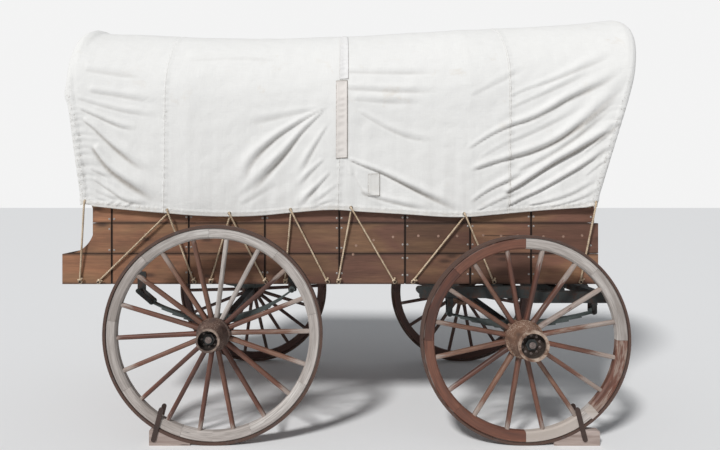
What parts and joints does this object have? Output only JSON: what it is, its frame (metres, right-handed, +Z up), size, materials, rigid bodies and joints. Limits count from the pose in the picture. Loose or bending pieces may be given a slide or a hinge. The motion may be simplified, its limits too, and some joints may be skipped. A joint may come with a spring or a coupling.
{
  "type": "covered wagon",
  "caption": "Four-wheeled plank wagon with a cotton cover on bent bows, spoked wooden wheels, leaf springs, a steering front gear on a turntable and a drop tail gate.",
  "frame": {"origin": "on the ground under the middle of the whole wagon", "axes": "+X forward along the wagon, +Y to its left, +Z up"},
  "size_m": [4.0699, 1.834, 2.8918],
  "materials": {
    "tyre_iron": "worn, rusted iron",
    "felloe_wood": "weathered, matte",
    "spoke_wood": "worn paint, matte",
    "hub_iron": "rusted, matte",
    "gear_iron": "worn black paint",
    "box_wood": "stained, matte",
    "bow_wood": "bare, matte",
    "cover_cotton": "off-white cotton duck",
    "rope": "twisted fibre",
    "chock_wood": "bare, matte"
  },
  "bodies": {
    "wagon": {"side_boards_right": "box_wood", "side_boards_left": "box_wood", "side_posts_right": "box_wood", "side_posts_left": "box_wood", "front_board": "box_wood", "boot_boards": "box_wood", "floor_planks": "box_wood", "floor_bearers": "box_wood", "gate_hinges": "gear_iron", "bows": "bow_wood", "cover": "cover_cotton", "tie_ropes_right": "rope", "tie_ropes_left": "rope", "turntable_upper": "gear_iron", "rear_axle": "gear_iron", "rear_springs": "gear_iron", "rear_hangers": "gear_iron"},
    "front_gear": {"front_frame": "gear_iron", "front_hangers": "gear_iron", "front_springs": "gear_iron", "front_axle": "gear_iron", "turntable_lower": "gear_iron", "front_stays": "gear_iron", "pole_forks": "gear_iron"},
    "tail_gate": {"tail_gate": "box_wood"},
    "wheel_rear_right": {"tyre_rear_right": "tyre_iron", "felloes_rear_right": "felloe_wood", "spokes_rear_right": "spoke_wood", "hub_rear_right": "hub_iron", "chock_rear": "chock_wood"},
    "wheel_rear_left": {"tyre_rear_left": "tyre_iron", "felloes_rear_left": "felloe_wood", "spokes_rear_left": "spoke_wood", "hub_rear_left": "hub_iron"},
    "wheel_front_right": {"tyre_front_right": "tyre_iron", "felloes_front_right": "felloe_wood", "spokes_front_right": "spoke_wood", "hub_front_right": "hub_iron", "chock_front": "chock_wood"},
    "wheel_front_left": {"tyre_front_left": "tyre_iron", "felloes_front_left": "felloe_wood", "spokes_front_left": "spoke_wood", "hub_front_left": "hub_iron"}
  },
  "joints": [
    {"name": "steer", "type": "hinge", "parent": "wagon", "child": "front_gear", "pos_m": [1.031, 0, 0.955], "axis": [0, 0, 1], "range_deg": [-10, 10]},
    {"name": "tail_gate_hinge", "type": "hinge", "parent": "wagon", "child": "tail_gate", "pos_m": [-1.782, 0, 1.172], "axis": [0, -1, 0], "range_deg": [0, 90]},
    {"name": "rear_right_wheel_spin", "type": "hinge", "parent": "wagon", "child": "wheel_rear_right", "pos_m": [-0.922, -0.775, 0.686], "axis": [0, 1, 0], "continuous": true},
    {"name": "rear_left_wheel_spin", "type": "hinge", "parent": "wagon", "child": "wheel_rear_left", "pos_m": [-0.922, 0.775, 0.686], "axis": [0, 1, 0], "continuous": true},
    {"name": "front_right_wheel_spin", "type": "hinge", "parent": "front_gear", "child": "wheel_front_right", "pos_m": [1.031, -0.775, 0.654], "axis": [0, 1, 0], "continuous": true},
    {"name": "front_left_wheel_spin", "type": "hinge", "parent": "front_gear", "child": "wheel_front_left", "pos_m": [1.031, 0.775, 0.654], "axis": [0, 1, 0], "continuous": true}
  ]
}
